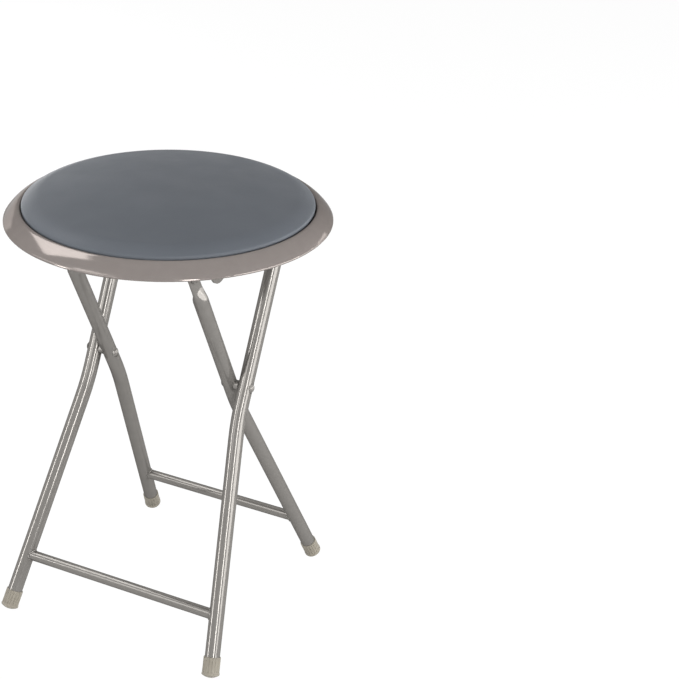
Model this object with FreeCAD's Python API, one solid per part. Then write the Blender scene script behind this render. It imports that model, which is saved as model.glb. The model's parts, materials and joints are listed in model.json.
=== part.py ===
import FreeCAD, Part
import math
import os

# Folding stool: a round padded seat on two crossed tube frames. Millimetres, +Z up.
# The origin is on the floor under the centre of the seat. The outer frame's feet are at -Y,
# the inner frame's feet are at +Y, and everything is symmetric about the YZ plane.

V = FreeCAD.Vector

# Scissor geometry
PIVOT_Y = -4.4
PIVOT_Z = 261.6
OUTER_LEAN = 25.62
INNER_LEAN = 26.48
LIP_Z = 3.9
FOLD_GAP = 0.15
RUNNING_FIT = 0.05
OVERRUN = 1.0

# Tubes
LEG_R = 7.6
LEG_WALL = 1.2
BAR_R = 5.4
BAR_WALL = 1.0
OUTER_BAR_DROP = 227.8
INNER_BAR_DROP = 226.2
BEND_DROP = 34.5
BEND_R = 280.0
CORNER_R = 30.0

# Frame half widths, above the bend and at the feet
OUTER_HALF = 89.3
OUTER_FOOT_HALF = 122.2
INNER_HALF = 71.3
INNER_FOOT_HALF = 105.2

# Heights of the hinge rivets and of the top bar under the seat
HINGE_Z = 403.5
TOP_BAR_Z = 413.0

# Pressed-flat end of an inner leg
FLAT_LOW = 125.0
FLAT_HIGH = 143.0
FLAT_HALF_THICK = 1.6
SLIT_HALF_THICK = 0.15

# Seat pan: a pressed ring from its foot up to its crest, over a rolled bead. The two pulls
# are how far the ring runs on upright at its foot and level at its crest before it turns.
SHEET = 1.2
PAN_FLOOR_Z = 428.0
RING_FOOT = (160.0, 424.2)
RING_FOOT_PULL = 2.9
RING_CREST = (144.9, 437.9)
RING_CREST_PULL = 4.1
RING_PULL_LOSS = 0.6
CREST_R = 2.4
RECESS_FILLET = 2.5
BEAD_CENTRE = (158.5, 424.7)
BEAD_R = 1.5

# Cushion
CROWN_Z = 457.0
SHOULDER_R = 38.6
SHOULDER_CENTRE = (118.2, 410.1)
EDGE_R = 3.0
CUSHION_R = 142.3
SIDE_FOOT = (137.0, 431.0)
SKIN = 0.8
SKIN_HEM_R = 126.0
BOARD_R = 136.2
BOARD_THICK = 4.0
STAPLE_COUNT = 16
STAPLE_RING = 131.0
STAPLE_SPAN = 9.0
STAPLE_WIDTH = 1.2
STAPLE_WIRE = 0.5
STAPLE_LEG = 4.0

# Screws under the pan: radius of the shank, radius and height of the head
CUSHION_SCREW = (2.0, 4.0, 2.4)
CUSHION_SCREW_RING = 105.0
CLIP_SCREW = (1.75, 3.5, 2.2)
CLIP_SCREW_X = 28.0
SCREW_TOP_Z = 431.8

# Cross recess of a screw: its width and depth as shares of the head's radius and height
RECESS_WIDTH_SHARE = 0.24
RECESS_REACH_SHARE = 0.56
RECESS_DEPTH_SHARE = 0.62

# Hinge bracket, a channel with its open side down
BRACKET_SHEET = 2.0
BRACKET_WIDTH = 22.0
BRACKET_FRONT = 12.0
BRACKET_REAR = 26.0
BRACKET_ROUND = 3.0
EAR_R = 6.5
OUTER_EAR_R = 14.0
OUTER_EAR_REAR = 8.0
OUTER_EAR_RISE = 10.3
WASHER = 1.0
WASHER_R = 5.5
HINGE_PIN_R = 2.5
HINGE_HEAD_R = 4.5
HINGE_HEAD_HEIGHT = 2.2

# Long rivets of the scissor pivot
PIN_R = 3.0
PIN_HEAD_R = 4.75
PIN_HEAD_HEIGHT = 2.6
SEAT_DEPTH = 0.9
SEAT_R = 5.2
SPACER_R = 4.8

# Top bar clip
CLIP_CLEAR = 0.3
CLIP_HALF_LONG = 22.0
CLIP_PLATE_HALF_LONG = 34.0
CLIP_PLATE = 2.5
CLIP_PLATE_ROUND = 5.0
CLIP_WALL = 3.0
CLIP_LIP = 2.0
CLIP_EXIT = (-0.43, -0.90)
CLIP_MOUTH = 30.0

# Foot caps, measured along the leg from the lip
CAP_LIP_R = 9.0
CAP_R = 8.65
CAP_LENGTH = 18.0
CAP_LIP_HIGH = 2.2
CAP_FLOOR = 3.0
CAP_ROUND = 0.6
DOME_BALL_R = 15.0
RIB_COUNT = 18
GROOVE_R = 0.8
GROOVE_OUT = 0.3
GROOVE_LOW = 3.2


def rad(degrees):
    return math.radians(degrees)


PAN_UNDER_Z = PAN_FLOOR_Z - SHEET
BOARD_LOW_Z = PAN_FLOOR_Z + SKIN
HINGE_UP = (HINGE_Z - PIVOT_Z) / math.cos(rad(INNER_LEAN))
TOP_BAR_UP = (TOP_BAR_Z - PIVOT_Z) / math.cos(rad(OUTER_LEAN))
HINGE_Y = PIVOT_Y - (HINGE_Z - PIVOT_Z) * math.tan(rad(INNER_LEAN))
TOP_BAR_Y = PIVOT_Y + (TOP_BAR_Z - PIVOT_Z) * math.tan(rad(OUTER_LEAN))
EAR_X = INNER_HALF + FLAT_HALF_THICK + FOLD_GAP + WASHER
DOME_DROP = CROWN_Z - SHOULDER_CENTRE[1]


def smooth(t):
    return t * t * (3.0 - 2.0 * t)


def mix(a, b, t):
    return a + (b - a) * t


def line(a, b):
    return Part.LineSegment(a, b).toShape()


def through(a, b, c):
    return Part.Arc(a, b, c).toShape()


def profile_arc(centre, radius, first, last):
    """Arc in the XZ plane, from the first to the last angle in degrees."""
    def at(degrees):
        x = centre[0] + radius * math.cos(rad(degrees))
        z = centre[1] + radius * math.sin(rad(degrees))
        return V(x, 0, z)
    return through(at(first), at((first + last) / 2.0), at(last))


def closed_profile(edges):
    """Joins arcs in order with straight lines and closes the outline."""
    joined = []
    for number, edge in enumerate(edges):
        after = edges[(number + 1) % len(edges)]
        joined.append(edge)
        gap = (end_of(edge), start_of(after))
        if (gap[1] - gap[0]).Length > 1e-6:
            joined.append(line(*gap))
    return Part.Face(Part.Wire(joined))


def start_of(edge):
    return edge.valueAt(edge.FirstParameter)


def end_of(edge):
    return edge.valueAt(edge.LastParameter)


def turned(face):
    return face.revolve(V(0, 0, 0), V(0, 0, 1), 360)


def x_rod(radius, x_from, x_to, y=0.0, z=0.0):
    return Part.makeCylinder(radius, x_to - x_from, V(x_from, y, z), V(1, 0, 0))


def z_rod(radius, z_from, z_to, x=0.0, y=0.0):
    return Part.makeCylinder(radius, z_to - z_from, V(x, y, z_from), V(0, 0, 1))


def mirrored(shape):
    return shape.mirror(V(0, 0, 0), V(1, 0, 0))


def cut_all(shape, tools):
    return shape.cut(Part.makeCompound(list(tools)))


def stand(shape, lean):
    """Leans a frame built flat in the XZ plane about its pivot, and lifts it into place."""
    placed = shape.copy()
    placed.rotate(V(0, 0, 0), V(1, 0, 0), lean)
    placed.translate(V(0, PIVOT_Y, PIVOT_Z))
    return placed


# Bent tubes


def bent_path(points, radii):
    """Straight runs joined by tangent arcs, one radius for each corner."""
    edges = []
    start = points[0]
    for corner, after, radius in zip(points[1:-1], points[2:], radii):
        arriving = (corner - start).normalize()
        leaving = (after - corner).normalize()
        half_turn = arriving.getAngle(leaving) / 2.0
        setback = radius * math.tan(half_turn)
        arc_start = corner - arriving * setback
        arc_end = corner + leaving * setback
        inward = (leaving - arriving).normalize()
        arc_middle = corner + inward * (radius / math.cos(half_turn) - radius)
        edges.append(line(start, arc_start))
        edges.append(through(arc_start, arc_middle, arc_end))
        start = arc_end
    edges.append(line(start, points[-1]))
    return Part.Wire(edges)


def pipe(path, radius):
    first = path.Edges[0]
    start = start_of(first)
    circle = Part.makeCircle(radius, start, end_of(first) - start)
    return path.makePipeShell([Part.Wire(circle)], True, False)


def foot_drop(lean):
    return (PIVOT_Z - LIP_Z) / math.cos(rad(lean))


def splay(half, foot_half, lean):
    """Outward angle of the lower leg, in the plane of its frame."""
    return math.degrees(math.atan((foot_half - half) / (foot_drop(lean) - BEND_DROP)))


def tube_end(half, foot_half, lean):
    """End of the tube, inside its cap and short of the cap's lip."""
    angle = rad(splay(half, foot_half, lean))
    x = foot_half - CAP_FLOOR * math.sin(angle)
    return V(x, 0, -foot_drop(lean) + CAP_FLOOR * math.cos(angle))


def seat_plane():
    """Distance of a pressed rivet seat from the axis of its tube."""
    return LEG_R - SEAT_DEPTH


def rivet_seat_walls(half):
    """Discs left standing in the bore behind the two pressed rivet seats of a leg."""
    far = seat_plane()
    near = far - LEG_WALL
    return [
        x_rod(LEG_R, half + near, half + far),
        x_rod(LEG_R, half - far, half - near),
    ]


def rivet_seat_cuts(half, hole_r):
    """The two pressed seats and the hole through both walls."""
    far = seat_plane()
    return [
        x_rod(SEAT_R, half + far, half + LEG_R + OVERRUN),
        x_rod(SEAT_R, half - LEG_R - OVERRUN, half - far),
        x_rod(hole_r, half - LEG_R - OVERRUN, half + LEG_R + OVERRUN),
    ]


# Outer frame: one tube bent to an inverted U


def outer_path():
    end = tube_end(OUTER_HALF, OUTER_FOOT_HALF, OUTER_LEAN)
    right = [end, V(OUTER_HALF, 0, -BEND_DROP), V(OUTER_HALF, 0, TOP_BAR_UP)]
    left = [V(-point.x, 0, point.z) for point in reversed(right)]
    return bent_path(right + left, [BEND_R, CORNER_R, CORNER_R, BEND_R])


def outer_frame_tube():
    path = outer_path()
    both_sides = (OUTER_HALF, -OUTER_HALF)
    walls = [wall for half in both_sides for wall in rivet_seat_walls(half)]
    bore = cut_all(pipe(path, LEG_R - LEG_WALL), walls)
    cuts = [c for half in both_sides for c in rivet_seat_cuts(half, PIN_R + RUNNING_FIT)]
    return cut_all(pipe(path, LEG_R).cut(bore), cuts)


# Inner frame: two tubes with pressed-flat ends


def flat_section(radius, half_thick, t, z):
    """Section of the pressed end: round at t = 0, flat at t = 1, always as wide."""
    corner_x = mix(radius * math.cos(rad(60)), half_thick, t)
    corner_y = mix(radius * math.sin(rad(60)), radius - half_thick, t)
    side_x = mix(radius, half_thick, t)
    right_low = V(corner_x, -corner_y, z)
    right_high = V(corner_x, corner_y, z)
    left_high = V(-corner_x, corner_y, z)
    left_low = V(-corner_x, -corner_y, z)
    if t < 1.0:
        right = through(right_low, V(side_x, 0, z), right_high)
        left = through(left_high, V(-side_x, 0, z), left_low)
    else:
        right = line(right_low, right_high)
        left = line(left_high, left_low)
    top = through(right_high, V(0, radius, z), left_high)
    bottom = through(left_low, V(0, -radius, z), right_low)
    return Part.Wire([right, top, left, bottom])


def pressed_loft(radius, half_thick):
    steps = (0.0, 1.0 / 3.0, 2.0 / 3.0, 1.0)
    wires = []
    for step in steps:
        z = mix(FLAT_LOW, FLAT_HIGH, step)
        wires.append(flat_section(radius, half_thick, smooth(step), z))
    return Part.makeLoft(wires, True, False)


def pressed_end():
    """Loft, flat strip and rounded tip, on the axis of the leg."""
    strip = Part.Face(flat_section(LEG_R, FLAT_HALF_THICK, 1.0, FLAT_HIGH))
    strip = strip.extrude(V(0, 0, HINGE_UP - FLAT_HIGH))
    corner = LEG_R - FLAT_HALF_THICK
    tip_edges = [
        line(V(-FLAT_HALF_THICK, 0, 0), V(FLAT_HALF_THICK, 0, 0)),
        line(V(FLAT_HALF_THICK, 0, 0), V(FLAT_HALF_THICK, corner, 0)),
        through(V(FLAT_HALF_THICK, corner, 0), V(0, LEG_R, 0), V(-FLAT_HALF_THICK, corner, 0)),
        line(V(-FLAT_HALF_THICK, corner, 0), V(-FLAT_HALF_THICK, 0, 0)),
    ]
    tip = Part.Face(Part.Wire(tip_edges)).revolve(V(0, 0, 0), V(1, 0, 0), 180)
    tip.translate(V(0, 0, HINGE_UP))
    return pressed_loft(LEG_R, FLAT_HALF_THICK).fuse([strip, tip])


def inner_path():
    end = tube_end(INNER_HALF, INNER_FOOT_HALF, INNER_LEAN)
    points = [end, V(INNER_HALF, 0, -BEND_DROP), V(INNER_HALF, 0, FLAT_LOW)]
    return bent_path(points, [BEND_R])


def inner_leg():
    path = inner_path()
    end = pressed_end()
    end.translate(V(INNER_HALF, 0, 0))
    pinch = pressed_loft(LEG_R - LEG_WALL, SLIT_HALF_THICK)
    pinch.translate(V(INNER_HALF, 0, 0))
    bore = pipe(path, LEG_R - LEG_WALL).fuse(pinch)
    bore = cut_all(bore, rivet_seat_walls(INNER_HALF))
    leg = pipe(path, LEG_R).fuse(end).removeSplitter().cut(bore)
    cuts = rivet_seat_cuts(INNER_HALF, PIN_R)
    reach = (INNER_HALF - LEG_R, INNER_HALF + LEG_R)
    cuts.append(x_rod(HINGE_PIN_R + RUNNING_FIT, *reach, z=HINGE_UP))
    return cut_all(leg, cuts)


# Crossbars, coped to the legs that they are welded between


def crossbar(half, foot_half, lean, drop, legs):
    """Bar at the distance drop below the pivot, along the plane of its frame."""
    spread = math.tan(rad(splay(half, foot_half, lean))) * (drop - BEND_DROP)
    reach = half + spread
    bar = x_rod(BAR_R, -reach, reach, z=-drop)
    bore = x_rod(BAR_R - BAR_WALL, -reach, reach, z=-drop)
    return bar.cut(bore).cut(legs)


# Foot caps


def cap_solid():
    """Cap on the Z axis, its lip at z = 0 and its domed end below."""
    ball_z = math.sqrt(DOME_BALL_R ** 2 - CAP_LIP_R ** 2)
    lip_angle = -math.degrees(math.asin(ball_z / DOME_BALL_R))
    dome = profile_arc((0, ball_z), DOME_BALL_R, -90, lip_angle)
    lip_centre = (CAP_LIP_R - CAP_ROUND, CAP_LIP_HIGH - CAP_ROUND)
    meets_side = math.degrees(math.acos((CAP_R - lip_centre[0]) / CAP_ROUND))
    lip = profile_arc(lip_centre, CAP_ROUND, 0, meets_side)
    rim = profile_arc((CAP_R - CAP_ROUND, CAP_LENGTH - CAP_ROUND), CAP_ROUND, 0, 90)
    bore = line(V(LEG_R, 0, CAP_LENGTH), V(LEG_R, 0, CAP_FLOOR))
    floor = line(V(LEG_R, 0, CAP_FLOOR), V(0, 0, CAP_FLOOR))
    return turned(closed_profile([dome, lip, rim, bore, floor]))


def rib_grooves():
    """Grooves from above the lip out through the rim, with the ribs left between them."""
    grooves = []
    for number in range(RIB_COUNT):
        angle = rad(360.0 * number / RIB_COUNT)
        x = (CAP_R + GROOVE_OUT) * math.cos(angle)
        y = (CAP_R + GROOVE_OUT) * math.sin(angle)
        grooves.append(z_rod(GROOVE_R, GROOVE_LOW, CAP_LENGTH + OVERRUN, x, y))
    return grooves


def foot_cap(half, foot_half, lean, tube_lean):
    cap = cut_all(cap_solid(), rib_grooves())
    cap.rotate(V(0, 0, 0), V(0, 1, 0), -splay(half, foot_half, lean))
    cap.translate(V(foot_half, 0, -foot_drop(lean)))
    cap = stand(cap, tube_lean)
    below = cap.BoundBox
    floor = Part.makeBox(
        below.XLength, below.YLength, CAP_LENGTH, V(below.XMin, below.YMin, -CAP_LENGTH)
    )
    return cap.cut(floor)


# Scissor pivot


def rivet_head(radius, height, x, way):
    """Domed head on the X axis at x, rising along X towards way (+1 or -1)."""
    ball = (radius ** 2 + height ** 2) / (2.0 * height)
    dome = Part.makeSphere(ball, V(x + way * (height - ball), 0, 0))
    keep_from = x if way > 0 else x - height
    return dome.common(x_rod(radius, keep_from, keep_from + height))


def pivot_rivet():
    inner_face = INNER_HALF - seat_plane()
    outer_face = OUTER_HALF + seat_plane() + FOLD_GAP
    shank = x_rod(PIN_R, inner_face, outer_face)
    heads = [
        rivet_head(PIN_HEAD_R, PIN_HEAD_HEIGHT, inner_face, -1),
        rivet_head(PIN_HEAD_R, PIN_HEAD_HEIGHT, outer_face, 1),
    ]
    return shank.fuse(heads)


def pivot_spacer():
    start = INNER_HALF + seat_plane()
    end = OUTER_HALF - seat_plane() - FOLD_GAP
    return x_rod(SPACER_R, start, end).cut(x_rod(PIN_R, start, end))


# Seat pan


def ring_curve(inset):
    """Section of the ring from its foot to its crest, moved inwards by inset."""
    foot = V(RING_FOOT[0] - inset, 0, RING_FOOT[1])
    crest = V(RING_CREST[0], 0, RING_CREST[1] - inset)
    upright = V(0, 0, RING_FOOT_PULL - RING_PULL_LOSS * inset)
    level = V(RING_CREST_PULL - RING_PULL_LOSS * inset, 0, 0)
    curve = Part.BezierCurve()
    curve.setPoles([foot, foot + upright, crest + level, crest])
    return curve


def seat_pan():
    ring = ring_curve(0.0).toShape()
    crest_centre = (RING_CREST[0], RING_CREST[1] - CREST_R)
    crest = profile_arc(crest_centre, CREST_R, 90, 180)
    recess_r = RING_CREST[0] - CREST_R
    fillet_centre = (recess_r - RECESS_FILLET, PAN_FLOOR_Z + RECESS_FILLET)
    fillet = profile_arc(fillet_centre, RECESS_FILLET, 0, -90)
    axis = line(V(0, 0, PAN_FLOOR_Z), V(0, 0, PAN_UNDER_Z))
    under_fillet = profile_arc(fillet_centre, RECESS_FILLET + SHEET, -90, 0)
    under_crest = profile_arc(crest_centre, CREST_R - SHEET, 180, 90)
    under_ring = ring_curve(SHEET)
    under_ring.setPoles(list(reversed(under_ring.getPoles())))
    outline = [ring, crest, fillet, axis, under_fillet, under_crest, under_ring.toShape()]
    pan = turned(closed_profile(outline))
    bead = Part.makeTorus(BEAD_CENTRE[0], BEAD_R, V(0, 0, BEAD_CENTRE[1]))
    pan = pan.fuse(bead)
    return cut_all(pan, screw_shanks())


# Cushion


def dome_radius():
    """Radius of the dome that meets the shoulder arc without a kink."""
    chord = SHOULDER_CENTRE[0] ** 2 + DOME_DROP ** 2 - SHOULDER_R ** 2
    return chord / (2.0 * (DOME_DROP - SHOULDER_R))


def cushion_body(inset):
    """Crowned cushion whose sides draw in to the board, moved inwards by inset."""
    dome_r = dome_radius()
    dome_centre = (0.0, CROWN_Z - dome_r)
    rise = SHOULDER_CENTRE[1] - dome_centre[1]
    shoulder_start = math.degrees(math.atan2(rise, SHOULDER_CENTRE[0]))
    edge_x = CUSHION_R - EDGE_R
    lean = math.acos((edge_x - SHOULDER_CENTRE[0]) / (SHOULDER_R - EDGE_R))
    edge_centre = (edge_x, SHOULDER_CENTRE[1] + (SHOULDER_R - EDGE_R) * math.sin(lean))
    edge_start = math.degrees(lean)
    draw_in = math.atan2(edge_centre[0] - SIDE_FOOT[0], edge_centre[1] - SIDE_FOOT[1])
    side = -math.degrees(draw_in)
    dome = profile_arc(dome_centre, dome_r - inset, 90, shoulder_start)
    shoulder = profile_arc(SHOULDER_CENTRE, SHOULDER_R - inset, shoulder_start, edge_start)
    edge = profile_arc(edge_centre, EDGE_R - inset, edge_start, side)
    foot = profile_arc(SIDE_FOOT, EDGE_R - inset, side, -90)
    low_z = SIDE_FOOT[1] - EDGE_R + inset
    axis = line(V(0, 0, low_z), V(0, 0, CROWN_Z - inset))
    return turned(closed_profile([dome, shoulder, edge, foot, axis]))


def board_solid():
    return z_rod(BOARD_R, BOARD_LOW_Z, BOARD_LOW_Z + BOARD_THICK)


def staples():
    """Upholstery staples: a crown under the turned-in skin and two legs up into the board."""
    half = STAPLE_SPAN / 2.0
    crown_corner = V(STAPLE_RING, -half, PAN_FLOOR_Z)
    crown = Part.makeBox(STAPLE_WIDTH, STAPLE_SPAN, STAPLE_WIRE, crown_corner)
    legs = []
    for y in (-half, half - STAPLE_WIRE):
        leg_corner = V(STAPLE_RING, y, PAN_FLOOR_Z)
        legs.append(Part.makeBox(STAPLE_WIDTH, STAPLE_WIRE, STAPLE_LEG, leg_corner))
    placed = []
    for number in range(STAPLE_COUNT):
        staple = crown.fuse(legs)
        staple.rotate(V(0, 0, 0), V(0, 0, 1), 360.0 * (number + 0.5) / STAPLE_COUNT)
        placed.append(staple)
    return placed


def cushion_cover():
    skin = cushion_body(0.0).cut(cushion_body(SKIN))
    skin = skin.cut(z_rod(SKIN_HEM_R, PAN_FLOOR_Z - OVERRUN, BOARD_LOW_Z + SKIN))
    return cut_all(skin, staples())


def cushion_foam():
    return cushion_body(SKIN).cut(board_solid())


def seat_board():
    return cut_all(board_solid(), staples() + screw_shanks())


# Screws


def cushion_screw_places():
    ring = CUSHION_SCREW_RING
    return [(ring, 0), (0, ring), (-ring, 0), (0, -ring)]


def clip_screw_places():
    return [(CLIP_SCREW_X, TOP_BAR_Y), (-CLIP_SCREW_X, TOP_BAR_Y)]


def screw_shank(radius, place, low_z):
    return z_rod(radius, low_z, SCREW_TOP_Z, *place)


def screw_shanks():
    shanks = [screw_shank(CUSHION_SCREW[0], place, PAN_UNDER_Z) for place in cushion_screw_places()]
    shanks += [screw_shank(CLIP_SCREW[0], place, PAN_UNDER_Z) for place in clip_screw_places()]
    return shanks


def cross_recess(head_r, head_height):
    """Two crossed slots that narrow upwards, from the end of a head at the origin."""
    half_wide = RECESS_WIDTH_SHARE * head_r / 2.0
    reach = RECESS_REACH_SHARE * head_r
    depth = RECESS_DEPTH_SHARE * head_height
    corners = [
        V(-reach, 0, -OVERRUN),
        V(-reach, 0, 0),
        V(-half_wide, 0, depth),
        V(half_wide, 0, depth),
        V(reach, 0, 0),
        V(reach, 0, -OVERRUN),
    ]
    slot = Part.Face(Part.makePolygon(corners + corners[:1]))
    slot.translate(V(0, -half_wide, 0))
    slot = slot.extrude(V(0, 2.0 * half_wide, 0))
    across = slot.copy()
    across.rotate(V(0, 0, 0), V(0, 0, 1), 90)
    return slot.fuse(across)


def screw(sizes, place, seat_z):
    """Pan head under seat_z and a shank up into the board."""
    shank_r, head_r, head_height = sizes
    ball = (head_r ** 2 + head_height ** 2) / (2.0 * head_height)
    dome = Part.makeSphere(ball, V(place[0], place[1], seat_z - head_height + ball))
    head = dome.common(z_rod(head_r, seat_z - head_height, seat_z, *place))
    recess = cross_recess(head_r, head_height)
    recess.translate(V(place[0], place[1], seat_z - head_height))
    return head.cut(recess).fuse(screw_shank(shank_r, place, seat_z))


def cushion_screws():
    return [screw(CUSHION_SCREW, place, PAN_UNDER_Z) for place in cushion_screw_places()]


def latch_screws():
    seat_z = PAN_UNDER_Z - CLIP_PLATE
    return [screw(CLIP_SCREW, place, seat_z) for place in clip_screw_places()]


# Seat hinge


def channel_blank():
    """Sheet channel with its web under the pan, as wide and long as the bracket."""
    low = HINGE_Z - EAR_R - OVERRUN
    length = BRACKET_FRONT + BRACKET_REAR
    outside = Part.makeBox(BRACKET_WIDTH, length, PAN_UNDER_Z - low, V(EAR_X, 0, low))
    inside_width = BRACKET_WIDTH - 2.0 * BRACKET_SHEET
    inside_height = PAN_UNDER_Z - BRACKET_SHEET - low
    inside_corner = V(EAR_X + BRACKET_SHEET, 0, low)
    inside = Part.makeBox(inside_width, length, inside_height, inside_corner)

    def top_edges(block, z):
        picked = []
        for edge in block.Edges:
            ends = [vertex.Point for vertex in edge.Vertexes]
            along_y = abs(ends[0].x - ends[1].x) < 1e-6 and abs(ends[0].z - ends[1].z) < 1e-6
            if along_y and abs(ends[0].z - z) < 1e-6:
                picked.append(edge)
        return picked
    outside = outside.makeFillet(BRACKET_ROUND, top_edges(outside, PAN_UNDER_Z))
    inside_round = BRACKET_ROUND - BRACKET_SHEET
    inside = inside.makeFillet(inside_round, top_edges(inside, PAN_UNDER_Z - BRACKET_SHEET))
    channel = outside.cut(inside)
    channel.translate(V(0, HINGE_Y - BRACKET_FRONT, 0))
    return channel


def ear_outline(tip_r, tip_rear, tip_rise, x_from, x_to):
    """Plate outline: a round tip joined by tangents to the full length at the web.

    tip_rear and tip_rise place the tip's centre, measured from the hinge."""
    tip = V(x_from, HINGE_Y + tip_rear, HINGE_Z + tip_rise)
    front = V(x_from, HINGE_Y - BRACKET_FRONT, PAN_UNDER_Z)
    rear = V(x_from, HINGE_Y + BRACKET_REAR, PAN_UNDER_Z)

    def tangent(corner, side):
        reach = corner - tip
        turn = side * math.acos(tip_r / reach.Length)
        angle = math.atan2(reach.z, reach.y) + turn
        return tip + V(0, tip_r * math.cos(angle), tip_r * math.sin(angle))
    front_tangent = tangent(front, 1)
    rear_tangent = tangent(rear, -1)
    edges = [
        line(front, front_tangent),
        through(front_tangent, tip + V(0, 0, -tip_r), rear_tangent),
        line(rear_tangent, rear),
        line(rear, front),
    ]
    return Part.Face(Part.Wire(edges)).extrude(V(x_to - x_from, 0, 0))


def hinge_bracket():
    middle = EAR_X + BRACKET_WIDTH / 2.0
    far = EAR_X + BRACKET_WIDTH
    web_corner = V(EAR_X, HINGE_Y - BRACKET_FRONT, PAN_UNDER_Z - BRACKET_ROUND)
    length = BRACKET_FRONT + BRACKET_REAR
    web = Part.makeBox(BRACKET_WIDTH, length, BRACKET_ROUND, web_corner)
    inner = ear_outline(EAR_R, 0.0, 0.0, EAR_X, middle)
    outer = ear_outline(OUTER_EAR_R, OUTER_EAR_REAR, OUTER_EAR_RISE, middle, far)
    bracket = channel_blank().common(inner.fuse([outer, web]))
    return bracket.cut(x_rod(HINGE_PIN_R, EAR_X, EAR_X + BRACKET_SHEET, HINGE_Y, HINGE_Z))


def hinge_washer():
    start = EAR_X - WASHER
    ring = x_rod(WASHER_R, start, EAR_X)
    ring = ring.cut(x_rod(HINGE_PIN_R, start, EAR_X))
    ring.translate(V(0, HINGE_Y, HINGE_Z))
    return ring


def hinge_rivet():
    inner_face = INNER_HALF - FLAT_HALF_THICK - FOLD_GAP
    outer_face = EAR_X + BRACKET_SHEET
    shank = x_rod(HINGE_PIN_R, inner_face, outer_face)
    heads = [
        rivet_head(HINGE_HEAD_R, HINGE_HEAD_HEIGHT, inner_face, -1),
        rivet_head(HINGE_HEAD_R, HINGE_HEAD_HEIGHT, outer_face, 1),
    ]
    rivet = shank.fuse(heads)
    rivet.translate(V(0, HINGE_Y, HINGE_Z))
    return rivet


# Clip for the top bar


def latch_clip():
    """Screwed plate with a saddle that opens downwards and forwards."""
    hold_r = LEG_R + CLIP_CLEAR
    exit_way = V(0, CLIP_EXIT[0], CLIP_EXIT[1]).normalize()
    front_way = V(0, exit_way.z, -exit_way.y)
    centre = V(0, TOP_BAR_Y, TOP_BAR_Z)
    front_tip = centre + front_way * hold_r
    rear_tip = centre - front_way * hold_r
    plate_z = PAN_UNDER_Z - CLIP_PLATE
    front_y = centre.y - hold_r - CLIP_WALL
    rear_y = centre.y + hold_r + CLIP_WALL
    corners = [
        V(-CLIP_HALF_LONG, front_y, plate_z + CLIP_PLATE),
        V(-CLIP_HALF_LONG, rear_y, plate_z + CLIP_PLATE),
        V(-CLIP_HALF_LONG, rear_y, rear_tip.z),
        V(-CLIP_HALF_LONG, rear_tip.y - CLIP_LIP, rear_tip.z),
        V(-CLIP_HALF_LONG, front_tip.y + CLIP_LIP, front_tip.z),
        V(-CLIP_HALF_LONG, front_y, front_tip.z),
    ]
    saddle = Part.Face(Part.makePolygon(corners + corners[:1]))
    saddle = saddle.extrude(V(2.0 * CLIP_HALF_LONG, 0, 0))
    plate_size = (2.0 * CLIP_PLATE_HALF_LONG, rear_y - front_y, CLIP_PLATE)
    plate = Part.makeBox(*plate_size, V(-CLIP_PLATE_HALF_LONG, front_y, plate_z))
    upright = [edge for edge in plate.Edges if abs(edge.Length - CLIP_PLATE) < 1e-6]
    plate = plate.makeFillet(CLIP_PLATE_ROUND, upright)
    reach = (-CLIP_HALF_LONG - OVERRUN, CLIP_HALF_LONG + OVERRUN)
    hold = x_rod(hold_r, *reach, y=centre.y, z=centre.z)
    way_out = exit_way * CLIP_MOUTH
    mouth_base = [front_tip, rear_tip, rear_tip + way_out, front_tip + way_out]
    mouth_base = [V(reach[0], point.y, point.z) for point in mouth_base]
    mouth = Part.Face(Part.makePolygon(mouth_base + mouth_base[:1]))
    mouth = mouth.extrude(V(reach[1] - reach[0], 0, 0))
    holes = [screw_shank(CLIP_SCREW[0], place, plate_z) for place in clip_screw_places()]
    return cut_all(plate.fuse(saddle), [hold, mouth] + holes).removeSplitter()


def frame_parts():
    parts = {}
    outer = outer_frame_tube()
    outer_rod = pipe(outer_path(), LEG_R)
    parts["outer_frame_tube"] = stand(outer, -OUTER_LEAN)
    outer_size = (OUTER_HALF, OUTER_FOOT_HALF, OUTER_LEAN)
    outer_bar = crossbar(*outer_size, OUTER_BAR_DROP, outer_rod)
    parts["outer_crossbar"] = stand(outer_bar, -OUTER_LEAN)
    leg = inner_leg()
    leg_rod = pipe(inner_path(), LEG_R)
    parts["inner_leg_right"] = stand(leg, INNER_LEAN)
    parts["inner_leg_left"] = mirrored(parts["inner_leg_right"])
    both_rods = Part.makeCompound([leg_rod, mirrored(leg_rod)])
    inner_size = (INNER_HALF, INNER_FOOT_HALF, INNER_LEAN)
    inner_bar = crossbar(*inner_size, INNER_BAR_DROP, both_rods)
    parts["inner_crossbar"] = stand(inner_bar, INNER_LEAN)
    parts["foot_cap_front_right"] = foot_cap(*outer_size, -OUTER_LEAN)
    parts["foot_cap_rear_right"] = foot_cap(*inner_size, INNER_LEAN)
    for corner in ("front", "rear"):
        right_cap = parts["foot_cap_" + corner + "_right"]
        parts["foot_cap_" + corner + "_left"] = mirrored(right_cap)
    for name, shape in (("pivot_rivet", pivot_rivet()), ("pivot_spacer", pivot_spacer())):
        parts[name + "_right"] = stand(shape, 0)
        parts[name + "_left"] = mirrored(parts[name + "_right"])
    return parts


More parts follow.
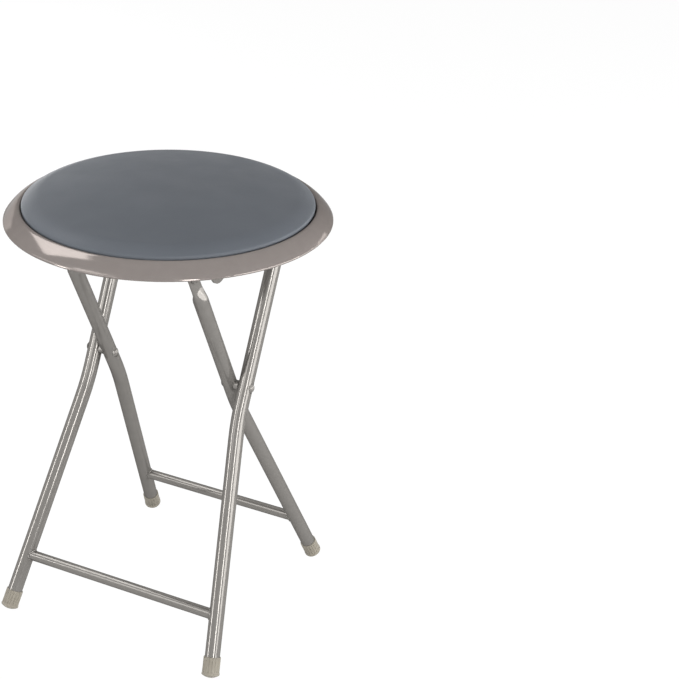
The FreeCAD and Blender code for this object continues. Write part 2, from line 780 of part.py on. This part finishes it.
def seat_parts():
    parts = {
        "seat_pan": seat_pan(),
        "cushion_cover": cushion_cover(),
        "cushion_foam": cushion_foam(),
        "seat_board": seat_board(),
        "cover_staples": Part.makeCompound(staples()),
        "cushion_screws": Part.makeCompound(cushion_screws()),
        "latch_clip": latch_clip(),
        "latch_screws": Part.makeCompound(latch_screws()),
    }
    pairs = {
        "hinge_bracket": hinge_bracket(),
        "hinge_washer": hinge_washer(),
        "hinge_rivet": hinge_rivet(),
    }
    for name, shape in pairs.items():
        parts[name + "_right"] = shape
        parts[name + "_left"] = mirrored(shape)
    return parts


def main():
    os.makedirs("parts", exist_ok=True)
    parts = frame_parts()
    parts.update(seat_parts())
    for name, shape in sorted(parts.items()):
        solids = len(shape.Solids)
        print(name, "valid" if shape.isValid() else "INVALID", solids, round(shape.Volume, 1))
        shape.exportStep(os.path.join("parts", name + ".step"))


main()
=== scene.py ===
import json
import math

import bmesh
import bpy
from mathutils import Matrix, Vector
from mathutils.bvhtree import BVHTree


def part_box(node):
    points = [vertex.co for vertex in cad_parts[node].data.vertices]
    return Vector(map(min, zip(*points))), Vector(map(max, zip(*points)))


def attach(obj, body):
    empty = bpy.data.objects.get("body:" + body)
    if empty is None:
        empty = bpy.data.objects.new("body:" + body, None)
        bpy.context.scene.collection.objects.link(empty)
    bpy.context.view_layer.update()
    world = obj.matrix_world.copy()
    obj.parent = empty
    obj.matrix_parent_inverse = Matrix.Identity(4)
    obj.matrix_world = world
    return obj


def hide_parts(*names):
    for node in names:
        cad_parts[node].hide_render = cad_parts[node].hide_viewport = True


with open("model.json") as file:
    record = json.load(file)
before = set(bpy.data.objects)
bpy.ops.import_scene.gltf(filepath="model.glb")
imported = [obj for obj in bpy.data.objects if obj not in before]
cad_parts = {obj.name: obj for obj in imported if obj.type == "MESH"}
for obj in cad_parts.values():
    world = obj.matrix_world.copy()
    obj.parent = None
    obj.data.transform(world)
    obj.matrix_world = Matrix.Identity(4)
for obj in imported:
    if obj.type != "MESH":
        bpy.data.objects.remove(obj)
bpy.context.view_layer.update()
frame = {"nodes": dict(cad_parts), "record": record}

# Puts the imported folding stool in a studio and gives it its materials, cushion and weld beads

# Camera: the photograph's view of the left stool, in pixels of its 679-wide frame, degrees and
# metres, with the sensor's width in millimetres
PHOTO_WIDTH = 679
PHOTO_CENTRE = (339.5, 339.5)
FOCAL_PIXELS = 1694.557
CAMERA_AZIMUTH = 25.838
CAMERA_ELEVATION = 25.547
CAMERA_ROLL = 2.096
SEAT_PIXEL = (169.565, 215.292)
SEAT_POINT = (0.0, 0.0, 0.424695)
SEAT_DEPTH = 1.653779
SENSOR_WIDTH = 36.0

# Lamps: azimuth from the front towards +X and elevation in degrees, distance from the middle of
# the stool, width and height in metres, and radiance
AIM_HEIGHT = 0.25
LAMPS = {
    "strip_right": dict(azimuth=45, elevation=14, distance=2.2, width=0.38, height=2.0, radiance=12.0),
    "strip_left": dict(azimuth=-41, elevation=6, distance=2.2, width=0.34, height=1.7, radiance=11.5),
    "side_right": dict(azimuth=97, elevation=4, distance=2.2, width=2.4, height=1.3, radiance=5.0),
    "top_left": dict(azimuth=-88, elevation=50, distance=2.2, width=1.3, height=1.0, radiance=4.6),
    "front_left": dict(azimuth=-20, elevation=30, distance=2.2, width=1.2, height=0.9, radiance=2.9),
    "overhead": dict(azimuth=-150, elevation=86, distance=2.2, width=1.6, height=1.6, radiance=0.1),
    "back_right": dict(azimuth=142, elevation=6, distance=2.4, width=1.8, height=0.9, radiance=3.2),
    "back_left": dict(azimuth=-122, elevation=5, distance=2.4, width=1.4, height=0.8, radiance=2.2),
}

# Background: grey levels, as scene-linear values. The floor takes a small share of its white from
# the lamps, so that the stool leaves a faint shadow, and glows with the rest. FLOOR_LIGHT is how
# brightly the lamps are taken to light it
WORLD_FILL = 0.1
BACKGROUND = 1.0
FLOOR_SIZE = 16.0
FLOOR_DIFFUSE = 0.5
FLOOR_SHADOW_SHARE = 0.09
FLOOR_LIGHT = 0.5

# Colours, as scene-linear values
PAN_PAINT = (0.25, 0.223, 0.21)
TUBE_PAINT = (0.224, 0.213, 0.200)
STEEL = (0.25, 0.238, 0.224)
VINYL = (0.122, 0.134, 0.152)
FOOT = (0.288, 0.263, 0.216)
CLIP = (0.035, 0.035, 0.037)
BOARD = (0.19, 0.11, 0.06)
FOAM = (0.62, 0.58, 0.44)

# Metals: how metallic they are, and how much is left of their reflection near grazing
METAL_SHARE = 0.4
PAINT_EDGE_TINT = 0.4
STEEL_EDGE_TINT = 0.5

# The part of a texture's range that most of its values lie in
TEXTURE_LOW = 0.3
TEXTURE_HIGH = 0.7

# Cushion, in metres: the crown starts sunken, and the skin is held outside the free radius
PAD_VOXEL = 0.0052
PAD_SINK = 0.004
PAD_CAP = 0.008
PAD_PRESSURE = 20.0
PAD_FIRST_FRAME = 1
PAD_LAST_FRAME = 20
PAD_FREE_RADIUS = 0.118
PAD_HELD_RADIUS = 0.132
PAD_FINENESS = 2

# Side of the cushion: the radius that it lies outside, the heights that it is dropped between, and
# how far its top is dropped
PAD_SIDE_RADIUS = 0.138
PAD_SIDE_FOOT_Z = 0.433
PAD_WIDEST_Z = 0.4388
PAD_SIDE_DROP = 0.0012

# Weld beads, in metres, and their ripples once round a crossbar
WELD_POINTS = 96
WELD_SIDES = 10
WELD_STAND_OFF = 0.0002
WELD_RADIUS = 0.0009
WELD_RIPPLES = 16
WELD_RIPPLE_SHARE = 0.14


def link(thing):
    bpy.context.scene.collection.objects.link(thing)


def direction(azimuth, elevation):
    """Unit vector towards an azimuth from the front (-Y) and an elevation, in degrees."""
    turn = math.radians(azimuth)
    rise = math.radians(elevation)
    return Vector((
        math.sin(turn) * math.cos(rise),
        -math.cos(turn) * math.cos(rise),
        math.sin(rise),
    ))


# Camera and studio


def photo_camera():
    """Places the camera so that the middle of the seat falls on its pixel of the photograph."""
    roll = math.radians(CAMERA_ROLL)
    back = direction(CAMERA_AZIMUTH, CAMERA_ELEVATION)
    level_right = Vector((0, 0, 1)).cross(back).normalized()
    level_up = back.cross(level_right)
    right = math.cos(roll) * level_right + math.sin(roll) * level_up
    up = math.cos(roll) * level_up - math.sin(roll) * level_right
    across = (SEAT_PIXEL[0] - PHOTO_CENTRE[0]) / FOCAL_PIXELS * SEAT_DEPTH
    above = (PHOTO_CENTRE[1] - SEAT_PIXEL[1]) / FOCAL_PIXELS * SEAT_DEPTH
    place = Vector(SEAT_POINT) + back * SEAT_DEPTH - right * across - up * above
    data = bpy.data.cameras.new("photo_camera")
    data.sensor_width = SENSOR_WIDTH
    data.lens = FOCAL_PIXELS / PHOTO_WIDTH * SENSOR_WIDTH
    camera = bpy.data.objects.new("photo_camera", data)
    axes = Matrix((right, up, back)).transposed().to_4x4()
    camera.matrix_world = Matrix.Translation(place) @ axes
    link(camera)
    bpy.context.scene.camera = camera


def lamp(name, azimuth, elevation, distance, width, height, radiance):
    """Soft rectangle of light that faces the middle of the stool and doesn't show itself."""
    towards = direction(azimuth, elevation)
    data = bpy.data.lights.new(name, "AREA")
    data.shape = "RECTANGLE"
    data.size = width
    data.size_y = height
    data.energy = radiance * math.pi * width * height
    light = bpy.data.objects.new(name, data)
    light.location = towards * distance + Vector((0, 0, AIM_HEIGHT))
    light.rotation_euler = towards.to_track_quat("Z", "Y").to_euler()
    light.visible_camera = False
    link(light)


def grey_shader(tree, kind, level):
    node = tree.nodes.new(kind)
    node.inputs["Color"].default_value = (level, level, level, 1)
    return node


def showing_ray(tree):
    """One for camera, glossy and transmission rays, which show the background, and else zero."""
    path = tree.nodes.new("ShaderNodeLightPath")
    shows = path.outputs["Is Camera Ray"]
    for ray in ("Is Glossy Ray", "Is Transmission Ray"):
        either = tree.nodes.new("ShaderNodeMath")
        either.operation = "MAXIMUM"
        tree.links.new(shows, either.inputs[0])
        tree.links.new(path.outputs[ray], either.inputs[1])
        shows = either.outputs[0]
    return shows


def show_to_some(tree, output_kind, lighting, shown):
    """Gives rays that show the background the shown shader, and all others the lighting one."""
    either = tree.nodes.new("ShaderNodeMixShader")
    out = tree.nodes.new(output_kind)
    tree.links.new(showing_ray(tree), either.inputs[0])
    tree.links.new(lighting.outputs[0], either.inputs[1])
    tree.links.new(shown.outputs[0], either.inputs[2])
    tree.links.new(either.outputs[0], out.inputs["Surface"])


def studio_world():
    """White where it is seen, and a dim fill for everything that it lights."""
    world = bpy.data.worlds.new("studio")
    bpy.context.scene.world = world
    world.use_nodes = True
    tree = world.node_tree
    tree.nodes.clear()
    fill = grey_shader(tree, "ShaderNodeBackground", BACKGROUND)
    fill.inputs["Strength"].default_value = WORLD_FILL
    shown = grey_shader(tree, "ShaderNodeBackground", BACKGROUND)
    show_to_some(tree, "ShaderNodeOutputWorld", fill, shown)


def floor_material():
    """Pale floor that lights the object as plain matter and shows as the white background."""
    material = bpy.data.materials.new("floor")
    material.use_nodes = True
    tree = material.node_tree
    tree.nodes.clear()
    plain = grey_shader(tree, "ShaderNodeBsdfDiffuse", FLOOR_DIFFUSE)
    shaded = grey_shader(tree, "ShaderNodeBsdfDiffuse", BACKGROUND * FLOOR_SHADOW_SHARE)
    glow = grey_shader(tree, "ShaderNodeEmission", BACKGROUND)
    glow.inputs["Strength"].default_value = 1.0 - FLOOR_SHADOW_SHARE * FLOOR_LIGHT
    shown = tree.nodes.new("ShaderNodeAddShader")
    tree.links.new(shaded.outputs[0], shown.inputs[0])
    tree.links.new(glow.outputs[0], shown.inputs[1])
    show_to_some(tree, "ShaderNodeOutputMaterial", plain, shown)
    return material


def floor():
    mesh = bpy.data.meshes.new("floor")
    half = FLOOR_SIZE / 2
    corners = [(-half, -half, 0), (half, -half, 0), (half, half, 0), (-half, half, 0)]
    mesh.from_pydata(corners, [], [(0, 1, 2, 3)])
    mesh.materials.append(floor_material())
    plane = bpy.data.objects.new("floor", mesh)
    link(plane)


# Materials


class Shader:
    """A Principled material and short calls for the textures that feed it, with scales per metre."""

    def __init__(self, name, colour):
        self.material = bpy.data.materials.new(name)
        self.material.use_nodes = True
        self.nodes = self.material.node_tree.nodes
        self.links = self.material.node_tree.links
        self.bsdf = self.nodes["Principled BSDF"]
        self.colour = colour
        self.bsdf.inputs["Base Color"].default_value = (*colour, 1)
        self.place = self.nodes.new("ShaderNodeTexCoord").outputs["Object"]

    def set(self, name, value):
        self.bsdf.inputs[name].default_value = value

    def metal(self, edge_tint):
        """Partly metallic, with a reflection that is dimmer near grazing."""
        self.set("Metallic", METAL_SHARE)
        self.set("Specular Tint", (edge_tint, edge_tint, edge_tint, 1))
        self.set("Specular IOR Level", 0.0)

    def noise(self, scale, detail=3.0, stretch=None):
        node = self.nodes.new("ShaderNodeTexNoise")
        node.inputs["Scale"].default_value = scale
        node.inputs["Detail"].default_value = detail
        self.links.new(self.stretched(stretch), node.inputs["Vector"])
        return node.outputs["Fac"]

    def cells(self, scale, feature="F1"):
        node = self.nodes.new("ShaderNodeTexVoronoi")
        node.feature = feature
        node.inputs["Scale"].default_value = scale
        self.links.new(self.place, node.inputs["Vector"])
        return node.outputs["Distance"]

    def stretched(self, stretch):
        if stretch is None:
            return self.place
        mapping = self.nodes.new("ShaderNodeMapping")
        mapping.inputs["Scale"].default_value = stretch
        self.links.new(self.place, mapping.inputs["Vector"])
        return mapping.outputs["Vector"]

    def spread(self, texture, low, high):
        """Maps a texture's values to the range from low to high."""
        node = self.nodes.new("ShaderNodeMapRange")
        node.inputs["From Min"].default_value = TEXTURE_LOW
        node.inputs["From Max"].default_value = TEXTURE_HIGH
        node.inputs["To Min"].default_value = low
        node.inputs["To Max"].default_value = high
        self.links.new(texture, node.inputs["Value"])
        return node.outputs["Result"]

    def tint(self, texture, dark, light):
        """Varies the base colour between a darker and a lighter tone of itself."""
        node = self.nodes.new("ShaderNodeMix")
        node.data_type = "RGBA"
        node.inputs["A"].default_value = (*[channel * dark for channel in self.colour], 1)
        node.inputs["B"].default_value = (*[channel * light for channel in self.colour], 1)
        self.links.new(self.spread(texture, 0.0, 1.0), node.inputs["Factor"])
        self.links.new(node.outputs["Result"], self.bsdf.inputs["Base Color"])

    def roughness(self, texture, low, high):
        self.links.new(self.spread(texture, low, high), self.bsdf.inputs["Roughness"])

    def bump(self, texture, depth):
        """Adds a height map, whose depth is in metres, over the ones that are already there."""
        node = self.nodes.new("ShaderNodeBump")
        node.inputs["Strength"].default_value = 1.0
        node.inputs["Distance"].default_value = depth
        self.links.new(texture, node.inputs["Height"])
        normal = self.bsdf.inputs["Normal"]
        if normal.is_linked:
            self.links.new(normal.links[0].from_socket, node.inputs["Normal"])
        self.links.new(node.outputs["Normal"], normal)


def paint_material(name, colour):
    """Metallic stove enamel that darkens towards grazing, slightly uneven in tone and gloss."""
    shader = Shader(name, colour)
    shader.metal(PAINT_EDGE_TINT)
    shader.tint(shader.noise(scale=90.0), dark=0.97, light=1.03)
    shader.roughness(shader.noise(scale=60.0), low=0.10, high=0.13)
    shader.bump(shader.noise(scale=200.0, detail=2.0), depth=0.000002)
    return shader.material


def steel_material():
    """Satin zinc-plated steel with fine drawn scratches."""
    shader = Shader("rivet_steel", STEEL)
    shader.metal(STEEL_EDGE_TINT)
    shader.tint(shader.noise(scale=240.0), dark=0.88, light=1.1)
    scratches = shader.noise(scale=900.0, detail=4.0, stretch=(0.15, 1.0, 1.0))
    shader.roughness(scratches, low=0.24, high=0.38)
    shader.bump(scratches, depth=0.00002)
    return shader.material


def vinyl_material():
    """Satin upholstery vinyl with a fine pebble grain."""
    shader = Shader("vinyl", VINYL)
    shader.set("Specular IOR Level", 0.1)
    shader.tint(shader.noise(scale=14.0), dark=0.96, light=1.04)
    shader.roughness(shader.noise(scale=35.0), low=0.42, high=0.5)
    shader.bump(shader.cells(scale=900.0, feature="SMOOTH_F1"), depth=0.00008)
    shader.bump(shader.noise(scale=260.0), depth=0.00005)
    return shader.material


def foot_material():
    """Pale moulded plastic, slightly uneven in tone."""
    shader = Shader("foot_plastic", FOOT)
    shader.set("Specular IOR Level", 0.4)
    shader.tint(shader.noise(scale=90.0), dark=0.94, light=1.05)
    shader.roughness(shader.noise(scale=160.0), low=0.45, high=0.6)
    shader.bump(shader.noise(scale=1400.0, detail=2.0), depth=0.00003)
    return shader.material


def clip_material():
    """Dark moulded nylon with a faint spark-eroded texture."""
    shader = Shader("clip_plastic", CLIP)
    shader.tint(shader.noise(scale=120.0), dark=0.9, light=1.15)
    shader.roughness(shader.noise(scale=300.0), low=0.42, high=0.55)
    shader.bump(shader.noise(scale=1800.0, detail=2.0), depth=0.00004)
    return shader.material


def board_material():
    """Hardboard: pressed brown fibre."""
    shader = Shader("hardboard", BOARD)
    shader.set("Roughness", 0.7)
    fibres = shader.noise(scale=700.0, detail=6.0, stretch=(1.0, 0.3, 1.0))
    shader.tint(fibres, dark=0.8, light=1.2)
    shader.bump(fibres, depth=0.0001)
    return shader.material


def foam_material():
    """Open-celled foam, seen only where the cover is taken off."""
    shader = Shader("foam", FOAM)
    shader.set("Roughness", 0.9)
    shader.tint(shader.noise(scale=500.0), dark=0.85, light=1.1)
    shader.bump(shader.cells(scale=1100.0), depth=0.0003)
    return shader.material


MATERIALS = {
    "painted_steel": paint_material("painted_steel", TUBE_PAINT),
    "rivet_steel": steel_material(),
    "vinyl": vinyl_material(),
    "foot_plastic": foot_material(),
    "clip_plastic": clip_material(),
    "hardboard": board_material(),
    "foam": foam_material(),
}
PAN_MATERIAL = paint_material("painted_pan", PAN_PAINT)


def coat(mesh, material):
    mesh.materials.clear()
    mesh.materials.append(material)


def dress_nodes():
    """Gives every CAD node the material of its slot; the pan's paint is a shade browner."""
    for part in frame["record"]["subparts"]:
        coat(frame["nodes"][part["node"]].data, MATERIALS[part["material_slot"]])
    coat(frame["nodes"]["seat_pan"].data, PAN_MATERIAL)


# Pieces


def new_piece(name, mesh, material):
    piece = bpy.data.objects.new(name, mesh)
    coat(mesh, material)
    link(piece)
    return piece


def evaluated_mesh(piece):
    """New mesh of the piece with its modifiers applied."""
    depsgraph = bpy.context.evaluated_depsgraph_get()
    depsgraph.update()
    return bpy.data.meshes.new_from_object(piece.evaluated_get(depsgraph))


def smooth(mesh):
    mesh.polygons.foreach_set("use_smooth", [True] * len(mesh.polygons))


# Cushion


def cover_hull():
    """Closed outside of the CAD cover, which is convex all round."""
    hull = bmesh.new()
    hull.from_mesh(frame["nodes"]["cushion_cover"].data)
    result = bmesh.ops.convex_hull(hull, input=hull.verts)
    spare = {*result["geom_interior"], *result["geom_unused"]}
    inside = [item for item in spare if isinstance(item, bmesh.types.BMVert)]
    bmesh.ops.delete(hull, geom=inside, context="VERTS")
    outside = {item for item in result["geom"] if item.is_valid}
    others = [face for face in hull.faces if face not in outside]
    bmesh.ops.delete(hull, geom=others, context="FACES_ONLY")
    bmesh.ops.recalc_face_normals(hull, faces=hull.faces)
    return hull


def remeshed(hull):
    """Even quads over the hull, at the size that the cloth needs."""
    mesh = bpy.data.meshes.new("cushion_start")
    hull.to_mesh(mesh)
    piece = new_piece("cushion_start", mesh, MATERIALS["vinyl"])
    remesh = piece.modifiers.new("even", "REMESH")
    remesh.mode = "VOXEL"
    remesh.voxel_size = PAD_VOXEL
    even = evaluated_mesh(piece)
    bpy.data.objects.remove(piece)
    return even


def lay_on(tree, mesh):
    """Puts every point on the hull, so that the voxels leave no steps."""
    for vertex in mesh.vertices:
        vertex.co = tree.find_nearest(vertex.co)[0]


def hold(vertex):
    """How firmly the skin is held at a point: not at all on the crown, fully at the edge."""
    if vertex.normal.z < 0.0:
        return 1.0
    share = (vertex.co.xy.length - PAD_FREE_RADIUS) / (PAD_HELD_RADIUS - PAD_FREE_RADIUS)
    share = min(max(share, 0.0), 1.0)
    return share * share * (3.0 - 2.0 * share)


def sink(vertex):
    """How far the crown is pressed in before the cloth lifts it again."""
    if vertex.normal.z < 0.0:
        return 0.0
    return PAD_SINK * max(1.0 - (vertex.co.xy.length / PAD_FREE_RADIUS) ** 2, 0.0)


def blown_up(piece):
    """Mesh of the piece after the pressure inside has filled it out as cloth."""
    cloth = piece.modifiers.new("cloth", "CLOTH")
    cloth.settings.use_pressure = True
    cloth.settings.uniform_pressure_force = PAD_PRESSURE
    cloth.settings.vertex_group_mass = "held"
    cloth.settings.effector_weights.gravity = 0
    for number in range(PAD_FIRST_FRAME, PAD_LAST_FRAME + 1):
        bpy.context.scene.frame_set(number)
    swollen = evaluated_mesh(piece)
    piece.modifiers.remove(cloth)
    bpy.context.scene.frame_set(PAD_FIRST_FRAME)
    return swollen


def kept_in(tree, before, after):
    """Where a point may move to: no further than the cap, and not outside the hull."""
    move = after - before
    if move.length > PAD_CAP:
        move = move.normalized() * PAD_CAP
    point = before + move
    surface, normal, _, _ = tree.find_nearest(point)
    is_outside = (point - surface).dot(normal) > 0.0
    return surface if is_outside else point


def inflate(piece, tree):
    """Blows the sunken crown up as cloth, as far as the cap and the cover's hull let it."""
    vertices = piece.data.vertices
    held = piece.vertex_groups.new(name="held")
    for vertex in vertices:
        held.add([vertex.index], hold(vertex), "REPLACE")
    depths = [sink(vertex) for vertex in vertices]
    for vertex, depth in zip(vertices, depths):
        vertex.co.z -= depth
    swollen = blown_up(piece)
    for vertex, after in zip(vertices, swollen.vertices):
        vertex.co = kept_in(tree, vertex.co, after.co)


def side_drop(point):
    """How far a point of the side goes down, which lowers the widest line of the cushion."""
    if point.xy.length <= PAD_SIDE_RADIUS:
        return 0.0
    if not PAD_SIDE_FOOT_Z < point.z < PAD_WIDEST_Z:
        return 0.0
    share = (point.z - PAD_SIDE_FOOT_Z) / (PAD_WIDEST_Z - PAD_SIDE_FOOT_Z)
    return PAD_SIDE_DROP * share


def tighten(mesh, tree):
    """Lays the held edge on the hull again and drops the side; all holds come before any move."""
    holds = [hold(vertex) for vertex in mesh.vertices]
    for vertex, held in zip(mesh.vertices, holds):
        point = vertex.co.copy()
        if held > 0.0:
            point = point.lerp(tree.find_nearest(point)[0], held)
        point.z -= side_drop(point)
        vertex.co = point


def cushion():
    """The padded cover, blown up under its own outline and laid in the pan's ring."""
    hull = cover_hull()
    tree = BVHTree.FromBMesh(hull)
    mesh = remeshed(hull)
    hull.free()
    lay_on(tree, mesh)
    piece = new_piece("seat_cushion", mesh, MATERIALS["vinyl"])
    inflate(piece, tree)
    finer = piece.modifiers.new("finer", "SUBSURF")
    finer.levels = PAD_FINENESS
    finer.render_levels = PAD_FINENESS
    piece.data = evaluated_mesh(piece)
    piece.modifiers.remove(finer)
    tighten(piece.data, tree)
    smooth(piece.data)
    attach(piece, "seat")
    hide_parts("cushion_cover", "cushion_foam")


# Welds


def bar_axis(bar_name):
    """A point on a crossbar's axis, which lies along X, and its radius."""
    low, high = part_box(bar_name)
    axis = Vector((0.0, (low.y + high.y) / 2, (low.z + high.z) / 2))
    return axis, (high.z - low.z) / 2


def weld_line(axis, radius, leg_name, side):
    """Points where the outside of a crossbar meets its leg, once round the bar."""
    leg = bmesh.new()
    leg.from_mesh(frame["nodes"][leg_name].data)
    tree = BVHTree.FromBMesh(leg)
    leg.free()
    line = []
    for number in range(WELD_POINTS):
        angle = math.tau * number / WELD_POINTS
        start = axis + Vector((0.0, math.cos(angle), math.sin(angle))) * radius
        line.append(tree.ray_cast(start, Vector((side, 0, 0)))[0])
    return line


def bead_ring(bead, point, along, outward, radius):
    """One ring of the bead's vertices, square to its line."""
    across = along.cross(outward)
    ring = []
    for step in range(WELD_SIDES):
        turn = math.tau * step / WELD_SIDES
        offset = math.cos(turn) * outward + math.sin(turn) * across
        ring.append(bead.verts.new(point + offset * radius))
    return ring


def bead_rings(bead, line, axis):
    """Rings all along the closed line, swelling and narrowing with the ripples."""
    rings = []
    for number, point in enumerate(line):
        before = line[number - 1]
        after = line[(number + 1) % WELD_POINTS]
        along = (after - before).normalized()
        outward = point - Vector((point.x, axis.y, axis.z))
        outward = (outward - outward.dot(along) * along).normalized()
        phase = math.tau * WELD_RIPPLES * number / WELD_POINTS
        radius = WELD_RADIUS * (1.0 + WELD_RIPPLE_SHARE * math.sin(phase))
        rings.append(bead_ring(bead, point, along, outward, radius))
    return rings


def bead_mesh(name, line, axis):
    bead = bmesh.new()
    rings = bead_rings(bead, line, axis)
    for number, ring in enumerate(rings):
        previous = rings[number - 1]
        for step in range(WELD_SIDES):
            bead.faces.new((previous[step - 1], previous[step], ring[step], ring[step - 1]))
    bmesh.ops.recalc_face_normals(bead, faces=bead.faces)
    mesh = bpy.data.meshes.new(name)
    bead.to_mesh(mesh)
    bead.free()
    smooth(mesh)
    return mesh


def weld(name, bar_name, leg_name, side, body):
    """Rippled bead in the corner between a crossbar and the leg on its side, -1 left or 1 right."""
    axis, bar_radius = bar_axis(bar_name)
    line = weld_line(axis, bar_radius + WELD_STAND_OFF, leg_name, side)
    piece = new_piece(name, bead_mesh(name, line, axis), MATERIALS["painted_steel"])
    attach(piece, body)


def welds():
    weld("outer_weld_left", "outer_crossbar", "outer_frame_tube", -1, "outer_frame")
    weld("outer_weld_right", "outer_crossbar", "outer_frame_tube", 1, "outer_frame")
    weld("inner_weld_left", "inner_crossbar", "inner_leg_left", -1, "inner_frame")
    weld("inner_weld_right", "inner_crossbar", "inner_leg_right", 1, "inner_frame")


photo_camera()
studio_world()
floor()
for lamp_name, lamp_values in LAMPS.items():
    lamp(lamp_name, **lamp_values)
dress_nodes()
cushion()
welds()
bpy.context.scene.view_settings.view_transform = "Standard"
